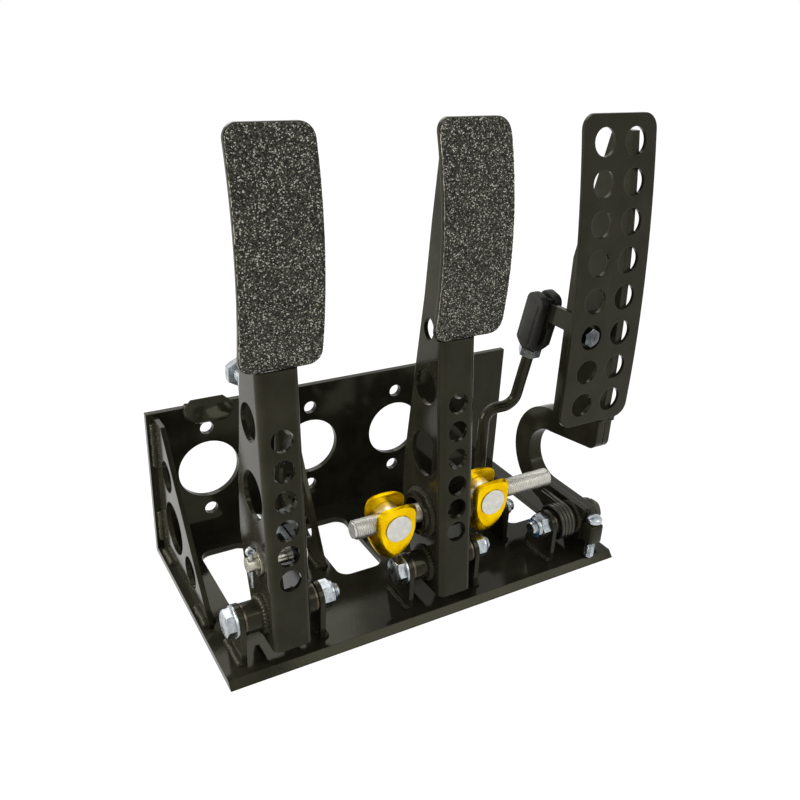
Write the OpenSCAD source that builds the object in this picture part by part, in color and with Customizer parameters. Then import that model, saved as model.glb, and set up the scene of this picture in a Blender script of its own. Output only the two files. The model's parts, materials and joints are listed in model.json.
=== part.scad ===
// Three-pedal bulkhead-fit pedal box with a balance bar and a throttle link

/* [Base and bulkhead] */
// width of the folded base, side to side
base_w = 259; // [230:1:300]
// depth of the base, front edge to bulkhead rear face
base_d = 138; // [120:1:170]
// sheet thickness of base and bulkhead
plate_t = 4; // [3:0.5:6]
// height of the bulkhead above the base top
bulk_h = 93; // [80:1:120]
// slope of the front edge, measured along the base
lip_w = 3.6; // [1:0.2:6]
// gusset sheet thickness
gusset_t = 3; // [2:0.5:5]
// distance of the left gusset from the left edge
gusset_inset = 4; // [2:0.5:12]
// place of the middle gusset from the left edge
mid_gusset_x = 82; // [70:1:82]
// distance that the left gusset runs forward from the bulkhead
gusset_run = 88; // [80:1:100]
// distance that the middle gusset runs forward from the bulkhead
mid_gusset_run = 68; // [60:1:80]
// height of a gusset on the bulkhead
gusset_h = 91; // [80:1:92]
// largest hole in the left gusset
gusset_hole = 32; // [20:1:34]
// width of a base cut-out
cut_w = 30; // [20:1:34]
// front end of the cut-outs
cut_front = 56; // [50:1:64]
// rear end of the cut-outs
cut_rear = 117; // [100:1:124]
// corner radius of the cut-outs
cut_r = 7; // [3:0.5:10]

/* [Master cylinder pattern] */
// bolt spacing of one cylinder flange
mc_bolt_pitch = 57.15; // [50:0.05:64]
// spacing of the two brake cylinders
mc_brake_pitch = 63.5; // [60:0.5:70]
// clearance bore for a cylinder body
mc_bore = 38.5; // [30:0.5:42]
// bolt hole in the bulkhead
mc_bolt_d = 8.4; // [8:0.1:9.5]
// height of the cylinders above the base top
mc_z = 48.4; // [44:0.2:54]
// clutch cylinder centre from the left edge
clutch_x = 36; // [34:0.5:40]
// left brake cylinder centre from the left edge
brake_left_x = 105; // [102:0.5:108]

/* [Pedal pivots] */
// pivot axis distance from the front edge
piv_y = 19.8; // [18:0.2:22]
// pivot axis height above the base top
piv_z = 22.6; // [21:0.2:26]
// length of a pivot tube
tube_len = 42; // [36:1:46]
// outer diameter of a pivot tube
tube_d = 17; // [15:0.5:18]
// bush outer diameter
bush_d = 12.7; // [12:0.1:13.5]
// pivot bolt diameter
bolt_d = 9.5; // [8:0.1:10]
// running clearance between bolt and bush, on the diameter
run_fit = 0.1; // [0.04:0.02:0.16]
// side clearance between tube and ear
side_gap = 0.4; // [0.3:0.1:1]
// bush flange thickness
flange_t = 1.2; // [0.8:0.1:1.6]
// thickness of a pivot ear
ear_t = 3; // [2.5:0.5:4]
// radius of an ear around the pivot
ear_r = 9.2; // [8.5:0.1:10]
// how far the tube centre sits left of the arm
tube_shift = 2; // [0:0.5:4]

/* [Pedal arms] */
// width of the folded arm channel
arm_w = 22; // [21:0.2:24]
// sheet thickness of the arm
arm_t = 2.5; // [2:0.25:3]
// outside bend radius of the channel
arm_bend = 4; // [3:0.5:6]
// lean of the arm towards the bulkhead, degrees
arm_lean = 5.9; // [4:0.1:8]
// front face distance from the front edge at the base top
arm_front = 0.7; // [0:0.1:4]
// depth of the arm sides at their widest
arm_d = 48; // [46:0.5:50]
// bottom of the arm above the base top
arm_z0 = 9; // [7:0.5:11]
// top of the arm above the base top
arm_z1 = 262; // [240:1:266]
// diameter of the front lightening holes
front_hole = 12; // [8:0.5:13]
// lowest front hole above the base top
hole_z = 49; // [46:0.5:54]
// pitch of the three lower front holes
hole_pitch = 14.2; // [13.4:0.1:15]
// pitch of the three upper front holes
upper_pitch = 16; // [13.4:0.2:17]
// largest side hole
side_hole = 26; // [18:0.5:27]

/* [Pads] */
// width of the clutch and brake pads
pad_w = 42; // [36:0.5:50]
// bottom edge of those pads above the base top
pad_z0 = 160; // [156:0.5:164]
// set of the pad behind the front face of its arm
pad_set = 0.5; // [0:0.1:2]
// top edge of those pads above the base top
pad_z1 = 269.5; // [266:0.5:280]
// pad curve radius at the grip face
pad_r = 208.8; // [200:0.2:220]
// pad sheet thickness
pad_t = 2; // [1.6:0.2:4]
// grip sheet thickness
grip_t = 1; // [0.8:0.1:2]
// grip sheet margin inside the pad edge
grip_edge = 0.3; // [0.2:0.1:2]
// corner radius of the pads
pad_corner = 7; // [4:0.5:10]
// sideways shift of the clutch pad from its cylinder line
clutch_pad_shift = 2.3; // [0:0.1:6]
// sideways shift of the brake pad from its cylinder line
brake_pad_shift = 6.2; // [0:0.1:8]

/* [Balance bar] */
// bar axis distance from the front edge
bar_y = 26; // [25:0.2:28]
// bar axis height above the base top
bar_z = 54; // [53:0.2:56]
// bar diameter
bar_d = 11.1; // [10:0.1:12]
// bar length to the left of the arm centre
bar_left = 56; // [50:1:60]
// bar length to the right of the arm centre
bar_right = 80; // [70:1:84]
// bias tube outer diameter
bias_d = 25; // [24:0.5:27]
// bias tube bore
bias_bore = 19; // [18:0.2:20]
// bias tube length
bias_len = 32; // [28:1:34]
// bearing ball diameter
ball_d = 16; // [15.4:0.1:16.6]
// bearing cup length
cup_len = 11; // [9:0.5:12]
// trunnion diameter
trun_d = 16; // [14.5:0.1:17]
// clevis body diameter
clevis_d = 26; // [25:0.5:28]
// slot width in a clevis
clevis_slot = 13.6; // [12.8:0.1:14]
// width across the flats of a clevis
clevis_flat = 19.6; // [19:0.2:22]
// clevis height above its trunnion
clevis_up = 12.5; // [10:0.5:14]
// clevis length below its trunnion, to the domed end
clevis_down = 21.9; // [20:0.1:22]
// push rod thread diameter
rod_thread = 7.94; // [6:0.01:8]
// swivel clearance between trunnion and clevis, on the diameter
trun_fit = 0.12; // [0.04:0.02:0.2]

/* [Clutch clevis] */
// clevis pin distance from the front edge
pin_y = 20.5; // [20:0.2:22]
// clevis pin height above the base top
pin_z = 55; // [53:0.5:57]
// clevis pin diameter
pin_d = 7.9; // [7:0.1:8.2]
// width of the clutch clevis between the arm sides
fork_w = 16; // [15:0.2:16.4]
// length of the clutch clevis behind its pin
fork_len = 32; // [28:1:40]

/* [Throttle] */
// throttle arm left face from the left edge
thr_x = 236; // [235:0.5:238]
// thickness of the two throttle arm plates together
thr_t = 10; // [8:0.5:10.5]
// thickness of the left plate, which carries the pad
web_t = 4.8; // [4:0.2:6]
// slit between the plates behind the pad
slit = 0.6; // [0.4:0.1:1]
// left ear inner face from the left edge
thr_ear_x = 217.5; // [216:0.5:218.5]
// centre of the curved neck from the front edge
neck_y = 49; // [47:0.5:52]
// centre of the curved neck above the base top
neck_z = 52; // [50:0.5:54]
// outer radius of the neck
neck_r = 33.5; // [32:0.5:34.5]
// width of the neck strip
neck_w = 15; // [12:0.5:17]
// throttle pad width
thr_pad_w = 50; // [44:0.5:52]
// throttle pad centre from the left edge
thr_pad_x = 226; // [224:0.5:228]
// bottom edge of the throttle pad above the base top
thr_pad_z0 = 100; // [97:0.5:101]
// top edge of the throttle pad above the base top
thr_pad_z1 = 271; // [264:0.5:276]
// throttle pad curve radius
thr_pad_r = 770; // [740:5:800]
// throttle pad hole diameter
thr_hole = 14.4; // [10:0.2:17]
// pitch between the two columns of holes
thr_col = 21; // [18:0.5:24]
// pitch of the holes along the pad
thr_row = 20.6; // [18:0.1:21.5]
// lowest hole above the pad's bottom edge
thr_row0 = 13; // [11:0.5:18]
// wire diameter of the return spring
wire_d = 2.6; // [2:0.1:3]
// mean diameter of the return spring
coil_d = 21; // [20.5:0.1:22]
// idle stop bolt diameter
stop_d = 6; // [5:0.5:6]
// gap under the idle stop bolt
stop_gap = 0.4; // [0.3:0.1:1]

/* [Throttle link] */
// link tab centre from the left edge
tab_x = 205.5; // [205:0.5:207]
// link tab thickness
tab_t = 3; // [2.5:0.5:4]
// link pin distance from the front edge
lpin_y = 37; // [36:0.5:39]
// link pin height above the base top
lpin_z = 157; // [154:0.5:160]
// link pin diameter
lpin_d = 5; // [4:0.5:6]
// free length of the slot in the tab
slot_run = 8.4; // [8:0.2:10]
// link pivot distance from the front edge
lp_y = 52; // [50:0.5:54]
// link pivot height above the base top
lp_z = 20; // [18:0.5:22]
// link rod diameter
lrod_d = 7; // [6:0.5:8]
// upright part of the link rod from the left edge
lrod_x = 184; // [183:0.5:188]
// height of the rod's cross run above the base top
cross_z = 95; // [92:0.5:98]

/* [Part to show] */
// one part by name, or all

/* [Hidden] */
$fn = 64;
bulk_y = base_d - plate_t;
brake_right_x = brake_left_x + mc_brake_pitch;
brake_x = (brake_left_x + brake_right_x) / 2;
clutch_tube_x = clutch_x - tube_shift;
brake_tube_x = brake_x - tube_shift;
bore_d = bolt_d + run_fit;
hex_af = bolt_d * 1.45;
hex_d = hex_af / cos(30);
head_t = bolt_d * 0.62;
nut_t = bolt_d * 0.85;
lean_k = tan(arm_lean);
chord_y0 = arm_front + lean_k * pad_z0 - pad_set;
pad_cy = chord_y0 + pad_r - 1.8;
pad_cz = (pad_z0 + pad_z1) / 2 - 15.45;
metal_r = pad_r - grip_t;
back_r = metal_r - pad_t;
thr_len = thr_pad_z1 - thr_pad_z0;
thr_cy = thr_pad_r + 3.3;
thr_cz = (thr_pad_z0 + thr_pad_z1) / 2 - 55;
thr_back_r = thr_pad_r - pad_t;
thr_ear2_x = thr_x + thr_t + side_gap + flange_t;
thr_tube_len = thr_ear2_x - thr_ear_x - 2 * side_gap;
thr_tube_mid = (thr_ear2_x + thr_ear_x) / 2;
neck_in = neck_r - neck_w;
boss_len = 22;
boss_x0 = lrod_x - 6;
lear_x0 = boss_x0 - side_gap;
lear_x1 = boss_x0 + boss_len + side_gap;
lbolt_d = 8;
lboss_d = 14;
tab_low = lpin_d / 2 + 2.1;
fork_floor = tab_low + slot_run + 2.6;
fork_end = fork_floor + 4.6;
fork_top = 15.5;
cheek_w = 14.6;
fork_round = 5.2;
fork_neck = 6.3;
bend_r = 8;
link_lean = atan2(lp_y - lpin_y, lpin_z - cross_z);
black = [0.07, 0.07, 0.065];
zinc = [0.75, 0.77, 0.8];
gold = [0.86, 0.6, 0.1];
steel = [0.62, 0.6, 0.56];

// shared shapes, measured from the front left corner of the base top
module place() translate([-base_w / 2, -base_d / 2, plate_t]) children();
module rod_x(x0, x1, y, z, d) translate([x0, y, z]) rotate([0, 90, 0]) cylinder(h = x1 - x0, d = d);
module rod_y(x, y0, y1, z, d) translate([x, y0, z]) rotate([-90, 0, 0]) cylinder(h = y1 - y0, d = d);
module rod_z(x, y, z0, z1, d) translate([x, y, z0]) cylinder(h = z1 - z0, d = d);
module hex_x(x0, x1, y, z, d) translate([x0, y, z]) rotate([0, 90, 0]) cylinder(h = x1 - x0, d = d, $fn = 6);
module slab_x(x0, t) translate([x0, 0, 0]) rotate([90, 0, 90]) linear_extrude(t) children();
module round_rect(x0, y0, x1, y1, r) {
  translate([x0 + r, y0]) square([x1 - x0 - 2 * r, y1 - y0]);
  translate([x0, y0 + r]) square([x1 - x0, y1 - y0 - 2 * r]);
  for (x = [x0 + r, x1 - r])
    for (y = [y0 + r, y1 - r])
      translate([x, y]) circle(r);
}
module rod_between(a, b, d) {
  v = b - a;
  translate(a)
    rotate([0, acos(v[2] / norm(v)), atan2(v[1], v[0])])
      cylinder(h = norm(v), d = d);
}

// the folded frame
module base_plate() color(black) place() difference() {
  slab_x(0, base_w) polygon([[0, -plate_t], [bulk_y, -plate_t], [bulk_y, 0], [lip_w, 0]]);
  for (x = [clutch_x - cut_w / 2, brake_left_x - cut_w / 2, base_w - 12 - cut_w])
    translate([0, 0, -plate_t - 1])
      linear_extrude(plate_t + 2)
        round_rect(x, cut_front, x + cut_w, cut_rear, cut_r);
}
module bulkhead_plate() color(black) place() difference() {
  translate([0, bulk_y, -plate_t]) cube([base_w, plate_t, bulk_h + plate_t]);
  for (x = [clutch_x, brake_left_x, brake_right_x]) {
    rod_y(x, bulk_y - 1, base_d + 1, mc_z, mc_bore);
    for (s = [-1, 1]) rod_y(x, bulk_y - 1, base_d + 1, mc_z + s * mc_bolt_pitch / 2, mc_bolt_d);
  }
}
// sloped plate with three holes, the large one in the middle
module gusset(x, run, hole) slab_x(x, gusset_t) difference() {
  polygon([[bulk_y, 0], [bulk_y, gusset_h], [bulk_y - 15.5, gusset_h], [bulk_y - run, 3], [bulk_y - run, 0]]);
  translate([bulk_y - 21.5, gusset_h * 0.68]) circle(d = hole * 0.6);
  translate([bulk_y - run / 3, gusset_h * 0.34]) circle(d = hole);
  translate([bulk_y - run * 0.66, gusset_h * 0.2]) circle(d = hole * 0.6);
}
module left_gusset() color(black) place() gusset(gusset_inset, gusset_run, gusset_hole);
module middle_gusset() color(black) place()
  gusset(mid_gusset_x, mid_gusset_run, gusset_hole * mid_gusset_run / gusset_run);
// tab bent forward and down, which the clutch stop bolt meets
module stop_tab() color(black) place() difference() {
  translate([clutch_x, bulk_y, bulk_h])
    rotate([38, 0, 0])
      translate([0, -18, -3])
        linear_extrude(3)
          polygon([[-9, 0], [9, 0], [14, 6], [14, 20], [-14, 20], [-14, 6]]);
  translate([0, bulk_y, -1]) cube([base_w, 40, bulk_h + 40]);
}

// pivot ears, bolts and nuts
module ear(x, y, z, run) slab_x(x, ear_t) difference() {
  union() {
    translate([y, z]) circle(ear_r);
    polygon([[y - ear_r, 0], [y + run, 0], [y + run, 5], [y + ear_r, z], [y - ear_r, z]]);
  }
  translate([y, z]) circle(d = bolt_d + 0.02);
}
module ear_pair(x0, x1, y, z, run) {
  ear(x0 - ear_t, y, z, run);
  ear(x1, y, z, run);
}
module clutch_ears() color(black) place()
  ear_pair(clutch_tube_x - tube_len / 2, clutch_tube_x + tube_len / 2, piv_y, piv_z, 16);
module brake_ears() color(black) place()
  ear_pair(brake_tube_x - tube_len / 2, brake_tube_x + tube_len / 2, piv_y, piv_z, 16);
module throttle_ears() color(black) place()
  ear_pair(thr_ear_x, thr_ear2_x, piv_y, piv_z, 16);
module link_ears() color(black) place() for (x = [lear_x0 - ear_t, lear_x1])
  slab_x(x, ear_t) difference() {
    union() {
      translate([lp_y, lp_z]) circle(10.5);
      translate([lp_y - 10.5, 0]) square([21, lp_z]);
    }
    translate([lp_y, lp_z]) circle(d = lbolt_d + 0.02);
  }
// head on the left when dir is 1, on the right when dir is -1
module pivot_bolt(x0, x1, y, z, d, dir) {
  hd = d * 1.45 / cos(30);
  ht = d * 0.62;
  tail = d * 0.85 + 3;
  if (dir > 0) {
    hex_x(x0 - ear_t - ht, x0 - ear_t, y, z, hd);
    rod_x(x0 - ear_t, x1 + ear_t + tail, y, z, d);
  } else {
    hex_x(x1 + ear_t, x1 + ear_t + ht, y, z, hd);
    rod_x(x0 - ear_t - tail, x1 + ear_t, y, z, d);
  }
}
module pivot_nut(x, y, z, d) difference() {
  union() {
    hex_x(x, x + d * 0.7, y, z, d * 1.45 / cos(30));
    rod_x(x, x + d * 0.85, y, z, d * 1.3);
  }
  rod_x(x - 1, x + d, y, z, d);
}
module clutch_pivot_bolt() color(zinc) place()
  pivot_bolt(clutch_tube_x - tube_len / 2, clutch_tube_x + tube_len / 2, piv_y, piv_z, bolt_d, 1);
module clutch_pivot_nut() color(zinc) place()
  pivot_nut(clutch_tube_x + tube_len / 2 + ear_t, piv_y, piv_z, bolt_d);
module brake_pivot_bolt() color(zinc) place()
  pivot_bolt(brake_tube_x - tube_len / 2, brake_tube_x + tube_len / 2, piv_y, piv_z, bolt_d, 1);
module brake_pivot_nut() color(zinc) place()
  pivot_nut(brake_tube_x + tube_len / 2 + ear_t, piv_y, piv_z, bolt_d);
module throttle_pivot_bolt() color(zinc) place()
  pivot_bolt(thr_ear_x, thr_ear2_x, piv_y, piv_z, bolt_d, -1);
module throttle_pivot_nut() color(zinc) place()
  translate([thr_ear_x - ear_t, 0, 0]) mirror([1, 0, 0]) pivot_nut(0, piv_y, piv_z, bolt_d);
module link_pivot_bolt() color(zinc) place()
  pivot_bolt(lear_x0, lear_x1, lp_y, lp_z, lbolt_d, 1);
module link_pivot_nut() color(zinc) place()
  pivot_nut(lear_x1 + ear_t, lp_y, lp_z, lbolt_d);

// folded pedal arm: a bent channel whose sides taper up behind the pad
module arm_profile() polygon([[-9, arm_z0], [arm_d * 0.67, arm_z0], [arm_d * 0.75, piv_z], [arm_d * 0.92, 44],
  [arm_d, 58], [arm_d, 80], [arm_d * 0.95, 101], [arm_d * 0.845, 146], [arm_d * 0.76, 180],
  [arm_d * 0.7, 220], [arm_d * 0.63, arm_z1 - 8], [arm_d * 0.6, arm_z1], [-9, arm_z1]]);
module lean_prism(w, front, r, z0, z1)
  translate([0, arm_front, 0])
    rotate([-arm_lean, 0, 0])
      translate([0, 0, z0])
        linear_extrude(z1 - z0)
          round_rect(-w / 2, front, w / 2, 80, r);
module pad_shell(r1, r0, w, z0, z1, r, cy, cz) intersection() {
  translate([-w, cy, cz]) rotate([0, 90, 0]) difference() {
    cylinder(h = 2 * w, r = r1, $fn = 240);
    translate([0, 0, -1]) cylinder(h = 2 * w + 2, r = r0, $fn = 240);
  }
  translate([0, 120, 0])
    rotate([90, 0, 0])
      linear_extrude(140)
        round_rect(-w / 2, z0, w / 2, z1, r);
}
module pedal_arm() difference() {
  intersection() {
    slab_x(-arm_w / 2, arm_w) arm_profile();
    union() {
      lean_prism(arm_w, 0, arm_bend, 0, pad_z0 + 1);
      intersection() {
        translate([-arm_w / 2, 0, pad_z0 - 2]) cube([arm_w, 80, arm_z1]);
        translate([-20, pad_cy, pad_cz]) rotate([0, 90, 0]) cylinder(h = 40, r = back_r, $fn = 240);
      }
    }
  }
  lean_prism(arm_w - 2 * arm_t, arm_t, arm_bend - arm_t, -20, arm_z1 + 20);
  translate([-arm_w / 2 + arm_t - 0.01, 0, pad_z0 + 2]) cube([arm_w - 2 * arm_t + 0.02, 80, arm_z1]);
  for (i = [0 : 2]) {
    rod_y(0, -5, 22, hole_z + i * hole_pitch, front_hole);
    rod_y(0, -5, 26, hole_z + 2 * hole_pitch + (i + 1) * upper_pitch, front_hole);
  }
  rod_x(-20, 20, arm_d * 0.565, 91, side_hole);
  rod_x(-20, 20, arm_d * 0.625, 130.5, side_hole - 6);
  rod_x(-20, 20, arm_d * 0.67, 163.5, side_hole - 13);
  rod_x(-20, 20, piv_y, piv_z, tube_d);
}
module pivot_tube(mid, len) difference() {
  rod_x(mid - len / 2, mid + len / 2, piv_y, piv_z, tube_d);
  rod_x(mid - len / 2 - 1, mid + len / 2 + 1, piv_y, piv_z, bush_d);
}
// two flanged bushes, one in each end of the tube
module bushes(mid, len) for (s = [0, 1])
  translate([mid, 0, 0]) mirror([s, 0, 0]) difference() {
    union() {
      rod_x(-len / 2 + flange_t, -len / 2 + 14, piv_y, piv_z, bush_d);
      rod_x(-len / 2, -len / 2 + flange_t, piv_y, piv_z, tube_d);
    }
    rod_x(-len / 2 - 1, -len / 2 + 15, piv_y, piv_z, bore_d);
  }
pedal_len = tube_len - 2 * side_gap;
core_len = pedal_len - 2 * flange_t;
module clutch_arm() color(black) place() difference() {
  translate([clutch_x, 0, 0]) pedal_arm();
  rod_x(clutch_x - 20, clutch_x + 20, pin_y, pin_z, pin_d);
}
module clutch_pivot_tube() color(black) place() pivot_tube(clutch_tube_x, core_len);
module clutch_bushes() color(steel) place() bushes(clutch_tube_x, pedal_len);
module clutch_pad() color(black) place() translate([clutch_x + clutch_pad_shift, 0, 0])
  pad_shell(metal_r, back_r, pad_w, pad_z0, pad_z1, pad_corner, pad_cy, pad_cz);
module clutch_grip() color([0.15, 0.15, 0.15]) place() translate([clutch_x + clutch_pad_shift, 0, 0])
  pad_shell(pad_r, metal_r, pad_w - 2 * grip_edge, pad_z0 + grip_edge, pad_z1 - grip_edge,
    pad_corner - grip_edge, pad_cy, pad_cz);
// stop bolt in a bridge between the arm's sides, its head towards the stop tab
sb_d = 8;
sb_x = clutch_x - arm_w / 2 + arm_t + sb_d / 2 + 0.3;
sb_z = 144.5;
sb_y = arm_front + arm_d * 0.845 * cos(arm_lean) + 146 * sin(arm_lean) + 0.5;
bridge_y = arm_d * 0.68;
module clutch_stop_bolt() color(zinc) place() {
  translate([sb_x, sb_y, sb_z]) rotate([-90, 0, 0]) cylinder(h = 5, d = 13 / cos(30), $fn = 6);
  rod_y(sb_x, bridge_y - 4, sb_y, sb_z, sb_d);
}
module clutch_stop_bridge() color(black) place() difference() {
  translate([clutch_x - arm_w / 2 + arm_t, bridge_y, sb_z - 6]) cube([arm_w - 2 * arm_t, 6, 12]);
  rod_y(sb_x, bridge_y - 1, bridge_y + 7, sb_z, sb_d);
}
module clutch_pin() color([0.72, 0.66, 0.42]) place() {
  x0 = clutch_x - arm_w / 2;
  rod_x(x0 - 7, clutch_x + arm_w / 2 + 2.6, pin_y, pin_z, pin_d);
  rod_x(clutch_x + arm_w / 2, clutch_x + arm_w / 2 + 2.6, pin_y, pin_z, pin_d + 3.6);
  rod_x(x0 - 1.6, x0, pin_y, pin_z, pin_d + 6);
}
module clutch_split_pin() color(zinc) place() {
  x = clutch_x - arm_w / 2 - 4.6;
  rod_z(x, pin_y, pin_z + pin_d / 2, pin_z + pin_d / 2 + 5, 2.2);
  rod_z(x, pin_y, pin_z - pin_d / 2 - 13, pin_z - pin_d / 2, 2.2);
  translate([x, pin_y, pin_z + pin_d / 2 + 7])
    rotate([90, 0, 0]) rotate_extrude() translate([2.8, 0]) circle(d = 2.2);
}
// fork for the clutch push rod, inside the channel
module clutch_clevis() color(gold) place() difference() {
  union() {
    rod_x(clutch_x - fork_w / 2, clutch_x + fork_w / 2, pin_y, pin_z, 14);
    translate([clutch_x - fork_w / 2, pin_y, pin_z - 7]) cube([fork_w, 16, 14]);
    rod_y(clutch_x, pin_y + 15, pin_y + fork_len, pin_z, 14);
  }
  rod_x(clutch_x - 20, clutch_x + 20, pin_y, pin_z, pin_d + run_fit);
  translate([clutch_x - 5, pin_y - 10, pin_z - 10]) cube([10, 20, 20]);
  rod_y(clutch_x, pin_y + 5, pin_y + fork_len + 1, pin_z, rod_thread);
}

// brake pedal with its balance bar
module brake_arm() color(black) place() difference() {
  translate([brake_x, 0, 0]) pedal_arm();
  rod_x(brake_x - 20, brake_x + 20, bar_y, bar_z, bias_d);
}
module brake_pivot_tube() color(black) place() pivot_tube(brake_tube_x, core_len);
module brake_bushes() color(steel) place() bushes(brake_tube_x, pedal_len);
module brake_pad() color(black) place() translate([brake_x + brake_pad_shift, 0, 0])
  pad_shell(metal_r, back_r, pad_w, pad_z0, pad_z1, pad_corner, pad_cy, pad_cz);
module brake_grip() color([0.15, 0.15, 0.15]) place() translate([brake_x + brake_pad_shift, 0, 0])
  pad_shell(pad_r, metal_r, pad_w - 2 * grip_edge, pad_z0 + grip_edge, pad_z1 - grip_edge,
    pad_corner - grip_edge, pad_cy, pad_cz);
module bias_tube() color(black) place() difference() {
  rod_x(brake_x - bias_len / 2, brake_x + bias_len / 2, bar_y, bar_z, bias_d);
  rod_x(brake_x - bias_len, brake_x + bias_len, bar_y, bar_z, bias_bore);
}
module turned_x(x, y, z) translate([x, y, z]) rotate([0, 90, 0]) rotate_extrude() children();
module bearing_cup() color(steel) place() turned_x(brake_x, bar_y, bar_z) difference() {
  translate([6.5, -cup_len / 2]) square([bias_bore / 2 - 6.5, cup_len]);
  circle(d = ball_d + run_fit);
}
module bearing_ball() color(steel) place() turned_x(brake_x, bar_y, bar_z) intersection() {
  circle(d = ball_d);
  translate([bar_d / 2, -5.2]) square([20, 10.4]);
}
module balance_bar() color(steel) place()
  rod_x(brake_x - bar_left, brake_x + bar_right, bar_y, bar_z, bar_d);
module trunnion(x) difference() {
  rod_y(x, bar_y - clevis_flat / 2 - 0.7, bar_y + clevis_flat / 2 + 0.7, bar_z, trun_d);
  rod_x(x - 20, x + 20, bar_y, bar_z, bar_d + run_fit);
}
// turned clevis hanging from its trunnion, slotted for the bar
module brake_clevis(x) difference() {
  translate([x, bar_y, bar_z]) rotate_extrude() polygon([[0, -clevis_down],
    [rod_thread / 2 + 1.6, -clevis_down], [clevis_d * 0.27, 1.4 - clevis_down],
    [clevis_flat / 2 - 0.4, -clevis_down * 0.69], [clevis_d / 2, -clevis_down * 0.28],
    [clevis_d / 2, clevis_up - 2], [clevis_d / 2 - 2, clevis_up], [0, clevis_up]]);
  translate([x - 20, bar_y - clevis_slot / 2, bar_z - 9]) cube([40, clevis_slot, 40]);
  for (s = [-1, 1])
    translate([x - 20, bar_y + s * (clevis_flat / 2 + 10) - 10, bar_z - 40]) cube([40, 20, 80]);
  rod_y(x, bar_y - 30, bar_y + 30, bar_z, trun_d + trun_fit);
  rod_z(x, bar_y, bar_z - clevis_down - 2, bar_z, rod_thread);
}
module left_trunnion() color(zinc) place() trunnion(brake_left_x);
module right_trunnion() color(zinc) place() trunnion(brake_right_x);
module left_clevis() color(gold) place() brake_clevis(brake_left_x);
module right_clevis() color(gold) place() brake_clevis(brake_right_x);

// throttle pedal: two plates with a curved neck, the left one rising behind the pad
foot_y = 9;
lug_r = 6.2;
module throttle_profile(web) difference() {
  union() {
    difference() {
      translate([neck_y, neck_z]) circle(neck_r, $fn = 120);
      translate([neck_y, neck_z]) circle(neck_in, $fn = 120);
      translate([neck_y - 60, neck_z - 50]) square([60, 100]);
    }
    polygon([[foot_y, 12], [40, 12], [52, 18.7], [neck_y, neck_z - neck_in], [foot_y, neck_z - neck_in]]);
    translate([neck_y - 35.1, neck_z + neck_in + 11.6]) circle(lug_r);
    intersection() {
      polygon([[neck_y - 36, neck_z + neck_in + 5.5], [neck_y, neck_z + neck_in], [neck_y, neck_z + neck_r],
        [neck_y, web ? 186 : 92], [web ? 38.7 : 26, web ? 232 : 104], [web ? 31.5 : 0, web ? 262 : 104],
        [-5, web ? 262 : 104], [-5, 96], [neck_y - 41.3, 96], [neck_y - 41.3, neck_z + neck_in + 11.6]]);
      translate([thr_cy, thr_cz]) circle(thr_back_r, $fn = 360);
    }
  }
  translate([piv_y, piv_z]) circle(d = tube_d);
}
module throttle_web() color(black) place() slab_x(thr_x, web_t) throttle_profile(true);
module throttle_arm() color(black) place() difference() {
  slab_x(thr_x + web_t, thr_t - web_t) throttle_profile(false);
  translate([thr_x + web_t - 1, -5, neck_z + neck_in - 4]) cube([slit + 1, neck_y - 14, 60]);
}
module throttle_pivot_tube() color(black) place() pivot_tube(thr_tube_mid, thr_tube_len - 2 * flange_t);
module throttle_bushes() color(steel) place() bushes(thr_tube_mid, thr_tube_len);
module throttle_pad() color(black) place() difference() {
  translate([thr_pad_x, 0, 0])
    pad_shell(thr_pad_r, thr_back_r, thr_pad_w, thr_pad_z0, thr_pad_z1, pad_corner + 1, thr_cy, thr_cz);
  for (s = [-1, 1])
    for (i = [0 : 7])
      rod_y(thr_pad_x + s * thr_col / 2, -10, 40, thr_pad_z0 + thr_row0 + i * thr_row, thr_hole);
}
stop_af = 10;
lug_y = foot_y - stop_af / 2 - 0.3;
lug_x = thr_x + thr_t / 2;
module throttle_stop_lug() color(black) place() difference() {
  translate([thr_x, lug_y - 4.6, 12]) cube([thr_t, foot_y - lug_y + 4.6, 8]);
  rod_z(lug_x, lug_y, 5, 30, stop_d);
}
module throttle_stop_bolt() color(zinc) place() {
  rod_z(lug_x, lug_y, stop_gap, 27, stop_d);
  translate([lug_x, lug_y, 27]) cylinder(h = 4, d = stop_af / cos(30), $fn = 6);
}
coil_x = thr_ear_x + side_gap + 3;
coil_pitch = wire_d + 0.1;
coil_out = (coil_d + wire_d) / 2 + 0.1;
module throttle_spring() color([0.12, 0.12, 0.12]) place() {
  for (i = [0 : 3])
    turned_x(coil_x + i * coil_pitch, piv_y, piv_z) translate([coil_d / 2, 0]) circle(d = wire_d, $fn = 24);
  rod_z(coil_x, piv_y + coil_out + wire_d / 2, 0.2, piv_z + 2, wire_d);
  rod_y(coil_x + 3 * coil_pitch, piv_y - 2, piv_y + 20, piv_z + coil_out + wire_d / 2, wire_d);
}

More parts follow.
